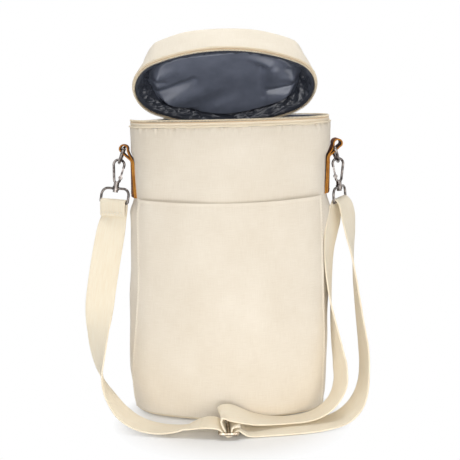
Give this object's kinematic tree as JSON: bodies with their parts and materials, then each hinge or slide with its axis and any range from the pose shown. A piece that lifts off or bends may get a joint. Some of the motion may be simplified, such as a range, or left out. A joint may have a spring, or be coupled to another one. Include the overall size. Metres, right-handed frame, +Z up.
{
  "type": "insulated bottle carrier",
  "caption": "Insulated canvas carrier with an oval body for bottles, hinged zip lid, front slip pocket, leather tabs with rings and a clip-on webbing shoulder strap.",
  "frame": {"origin": "middle of the base, on the surface that it stands on", "axes": "+Z up, -Y towards the front pocket, +X towards the right ring as seen from the front"},
  "size_m": [0.2922, 0.1742, 0.39],
  "materials": {
    "canvas": "plain-weave cotton canvas",
    "trim": "bias-cut canvas over cord",
    "zip_tape": "woven zip tape",
    "zip_coil": "nylon coil",
    "lining": "soft sheet film",
    "foam": "closed-cell foam",
    "board": "stiff sheet",
    "leather": "smooth tanned leather",
    "nickel": "polished nickel plate",
    "webbing": "cotton webbing"
  },
  "bodies": {
    "bag": {"canvas_wall": "canvas", "canvas_base": "canvas", "base_piping": "trim", "rim_welt": "trim", "base_board": "board", "base_foam": "foam", "wall_foam": "foam", "wall_lining": "lining", "base_lining": "lining", "bottle_divider": "foam", "front_pocket": "canvas", "zip_tape_bag": "zip_tape", "zip_coil_bag": "zip_coil", "hinge_strip_bag": "canvas", "zip_slider": "nickel", "tab_left": "leather", "tab_right": "leather", "strap_left": "webbing", "strap_right": "webbing", "tri_glide": "nickel"},
    "lid": {"lid_band": "canvas", "lid_top": "canvas", "lid_foam": "foam", "lid_lining": "lining", "lid_welt": "trim", "zip_tape_lid": "zip_tape", "zip_coil_lid": "zip_coil", "hinge_strip_lid": "canvas"},
    "zip_pull": {"zip_pull": "nickel"},
    "ring_left": {"ring_left": "nickel"},
    "strap_loop_left": {"strap_loop_left": "nickel"},
    "hook_left": {"hook_left": "nickel", "gate_pin_left": "nickel"},
    "gate_left": {"gate_left": "nickel"},
    "ring_right": {"ring_right": "nickel"},
    "strap_loop_right": {"strap_loop_right": "nickel"},
    "hook_right": {"hook_right": "nickel", "gate_pin_right": "nickel"},
    "gate_right": {"gate_right": "nickel"}
  },
  "joints": [
    {"name": "lid_hinge", "type": "hinge", "parent": "bag", "child": "lid", "pos_m": [0, 0.05365, 0.3], "axis": [-1, 0, 0], "range_deg": [-38, 108]},
    {"name": "left_hardware_swing", "type": "hinge", "parent": "bag", "child": "strap_loop_left", "pos_m": [-0.1055, 0, 0.269], "axis": [0, 1, 0], "range_deg": [-1, 30], "deforming": ["strap_left"]},
    {"name": "left_ring_swing", "type": "hinge", "parent": "bag", "child": "ring_left", "pos_m": [-0.1055, 0, 0.269], "axis": [0, 1, 0], "range_deg": [-1, 30]},
    {"name": "left_hook_swivel", "type": "hinge", "parent": "strap_loop_left", "child": "hook_left", "pos_m": [-0.11097, 0, 0.25396], "axis": [0.1392, 0.2396, 0.9609], "range_deg": [-35, 35]},
    {"name": "left_gate", "type": "hinge", "parent": "hook_left", "child": "gate_left", "pos_m": [-0.10983, -0.00368, 0.23922], "axis": [0, -0.9703, 0.2419], "range_deg": [0, 30], "stiffness_Nm_per_rad": 0.02},
    {"name": "right_hardware_swing", "type": "hinge", "parent": "bag", "child": "strap_loop_right", "pos_m": [0.1055, 0, 0.269], "axis": [0, -1, 0], "range_deg": [-1, 30], "deforming": ["strap_right"]},
    {"name": "right_ring_swing", "type": "hinge", "parent": "bag", "child": "ring_right", "pos_m": [0.1055, 0, 0.269], "axis": [0, -1, 0], "range_deg": [-1, 30]},
    {"name": "right_hook_swivel", "type": "hinge", "parent": "strap_loop_right", "child": "hook_right", "pos_m": [0.11071, 0, 0.25387], "axis": [-0.0698, 0, 0.9976], "range_deg": [-35, 35]},
    {"name": "right_gate", "type": "hinge", "parent": "hook_right", "child": "gate_right", "pos_m": [0.10851, 0, 0.23879], "axis": [0, 1, 0], "range_deg": [0, 30], "stiffness_Nm_per_rad": 0.02},
    {"name": "zip_pull_swing", "type": "hinge", "parent": "bag", "child": "zip_pull", "pos_m": [-0.06277, 0.04511, 0.29695], "axis": [0.9367, 0.35, 0], "range_deg": [0, 60]}
  ],
  "couplings": [
    {"joint": "left_ring_swing", "follows": "left_hardware_swing", "ratio": 1},
    {"joint": "right_ring_swing", "follows": "right_hardware_swing", "ratio": 1}
  ]
}
